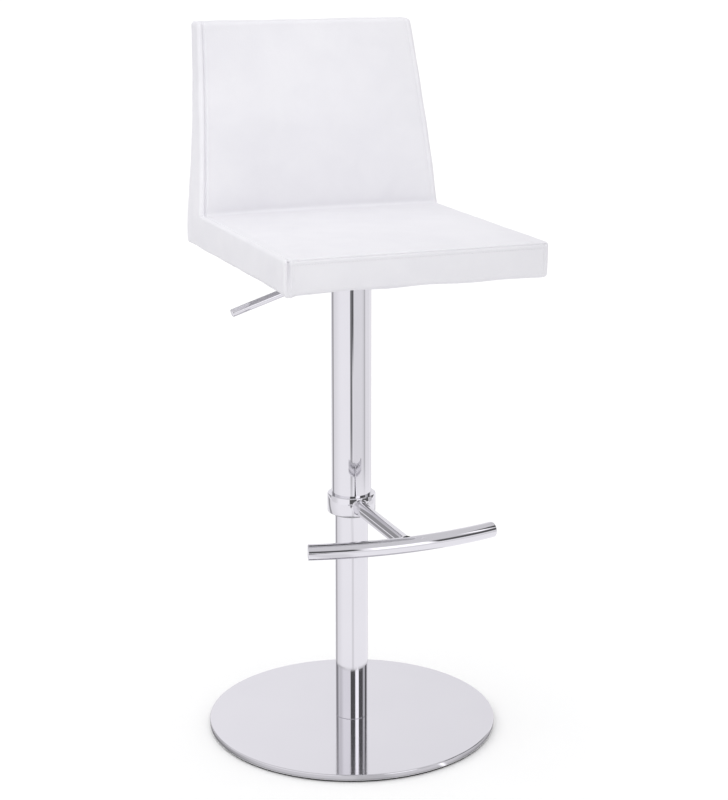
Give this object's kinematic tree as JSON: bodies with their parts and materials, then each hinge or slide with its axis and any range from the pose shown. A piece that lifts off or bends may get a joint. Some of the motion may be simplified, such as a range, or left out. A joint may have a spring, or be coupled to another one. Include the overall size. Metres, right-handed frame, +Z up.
{
  "type": "adjustable swivel stool",
  "caption": "Tall padded stool with a low back, on a gas-lift swivel column with a footrest bar, a height lever and a round floor plate.",
  "frame": {"origin": "on the floor, on the column's vertical axis, at the middle of the pad under the round base", "axes": "+Z up along the column, -Y the way a sitter faces, -X the side of the height lever (the sitter's right)"},
  "size_m": [0.4429, 0.4887, 1.068],
  "materials": {
    "floor_pad": "dull black closed foam rubber",
    "base_plate": "polished stainless plate, very faint brushing",
    "fasteners": "zinc-plated screws",
    "turned_steel": "turned steel",
    "column_chrome": "bright chrome tube",
    "guide_plastic": "moulded guide bush",
    "bearing_steel": "hardened ground steel",
    "cage_brass": "pressed brass",
    "rod_chrome": "hard-chromed piston rod",
    "rubber": "moulded rubber",
    "cylinder_paint": "satin black paint",
    "bush_plastic": "dark grey moulded bush",
    "hub_paint": "black powder coat",
    "hardboard": "hardboard",
    "footrest_chrome": "bright chrome",
    "plywood": "birch plywood",
    "zinc_plate": "zinc-plated angle",
    "foam": "upholstery foam",
    "white_leather": "white soft leatherette, fine grain, sewn seams",
    "dust_cloth": "grey spunbond dust cover",
    "lever_chrome": "bright chrome rod"
  },
  "bodies": {
    "base": {"floor_pad": "floor_pad", "base_plate": "base_plate", "base_screws": "fasteners", "tube_foot": "turned_steel", "lower_tube": "column_chrome", "cylinder_guide": "guide_plastic", "thrust_race_lower": "bearing_steel"},
    "bearing": {"ball_cage": "cage_brass", "thrust_balls": "bearing_steel"},
    "spindle": {"thrust_race_upper": "bearing_steel", "piston_rod": "rod_chrome", "rod_clip": "bearing_steel", "bump_stop": "rubber", "piston": "turned_steel", "piston_ring": "rubber"},
    "seat_unit": {"gas_cylinder": "cylinder_paint", "rod_guide": "turned_steel", "rod_seal": "rubber", "upper_tube": "column_chrome", "column_bush": "bush_plastic", "taper_hub": "hub_paint", "hub_set_screws": "fasteners", "mounting_plate": "hub_paint", "plate_spacer": "hardboard", "plate_bolts": "fasteners", "tee_nuts": "fasteners", "lever_pin": "fasteners", "footrest_collar": "footrest_chrome", "collar_set_screws": "fasteners", "footrest_strut": "footrest_chrome", "footrest_bar": "footrest_chrome", "bar_end_plugs": "footrest_chrome", "seat_board": "plywood", "back_board": "plywood", "back_brackets": "zinc_plate", "bracket_screws": "fasteners", "seat_padding": "foam", "back_padding": "foam", "side_panel_right": "white_leather", "side_panel_left": "white_leather", "centre_panel": "white_leather", "dust_cover": "dust_cloth"},
    "lever": {"height_lever": "lever_chrome"},
    "valve": {"valve_pin": "turned_steel"}
  },
  "joints": [
    {"name": "seat_swivel", "type": "hinge", "parent": "base", "child": "spindle", "pos_m": [0, 0, 0.035], "axis": [0, 0, 1], "continuous": true},
    {"name": "bearing_roll", "type": "hinge", "parent": "base", "child": "bearing", "pos_m": [0, 0, 0.035], "axis": [0, 0, 1], "continuous": true},
    {"name": "seat_lift", "type": "slide", "parent": "spindle", "child": "seat_unit", "axis": [0, 0, 1], "range_m": [-0.22, 0]},
    {"name": "lever_lift", "type": "hinge", "parent": "seat_unit", "child": "lever", "pos_m": [-0.022, 0, 0.71638], "axis": [0, 1, 0], "range_deg": [0, 8], "stiffness_Nm_per_rad": 5, "springref_deg": -11.46},
    {"name": "valve_press", "type": "slide", "parent": "seat_unit", "child": "valve", "axis": [0, 0, 1], "range_m": [-0.0035, 0]}
  ],
  "couplings": [
    {"joint": "bearing_roll", "follows": "seat_swivel", "ratio": 0.5},
    {"joint": "valve_press", "follows": "lever_lift", "m_per_rad": -0.022}
  ]
}
